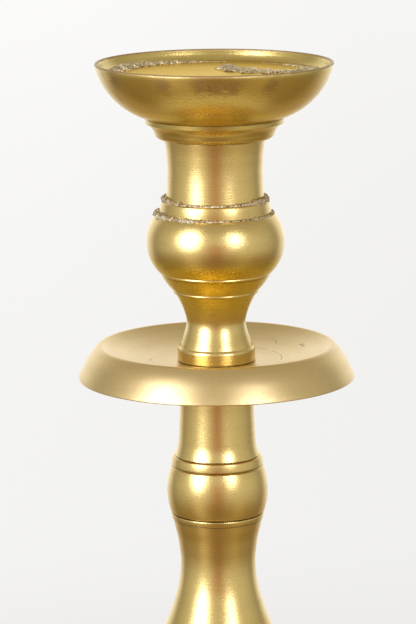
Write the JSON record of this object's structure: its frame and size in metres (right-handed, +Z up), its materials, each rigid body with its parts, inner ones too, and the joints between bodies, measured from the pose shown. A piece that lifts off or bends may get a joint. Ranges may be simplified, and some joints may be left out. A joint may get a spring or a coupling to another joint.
{
  "type": "altar candlestick",
  "caption": "Turned brass altar candlestick: shallow pillar-candle cup on a ringed neck, globe, drip pan, knopped shaft, pear-shaped vase and round stepped base.",
  "frame": {"origin": "middle of the underside, on the surface the candlestick stands on", "axes": "+Z up along the axis of the turned sections; X and Y are alike, apart from the nuts' flats"},
  "size_m": [0.19, 0.19, 0.51],
  "materials": {
    "turned_brass": "polished, fine turning marks, light tarnish",
    "cup_brass": "polished casting, faint brown mottling",
    "cup_floor_brass": "dull, soldered round the edge",
    "sheet_brass": "spun sheet, satin, scuffed",
    "steel": "zinc plated",
    "felt": "green felt"
  },
  "bodies": {
    "cup": {"candle_cup": "cup_brass", "cup_floor": "cup_floor_brass"},
    "stem": {"neck_sleeve": "turned_brass", "neck_ring": "turned_brass", "globe_baluster": "turned_brass", "drip_pan": "sheet_brass", "upper_shaft": "turned_brass", "shaft_knop": "turned_brass", "knop_ring": "turned_brass", "vase_shaft": "turned_brass", "vase_collar": "turned_brass", "lower_knop": "turned_brass", "base_stem": "turned_brass", "base_dome": "turned_brass", "base_felt": "felt", "tie_rod": "steel", "top_washer": "steel", "top_nut": "steel", "base_washer": "steel", "spring_washer": "steel", "base_nut": "steel"}
  },
  "joints": [
    {"name": "cup_lift", "type": "slide", "parent": "stem", "child": "cup", "axis": [0, 0, 1], "range_m": [0, 0.045]}
  ]
}
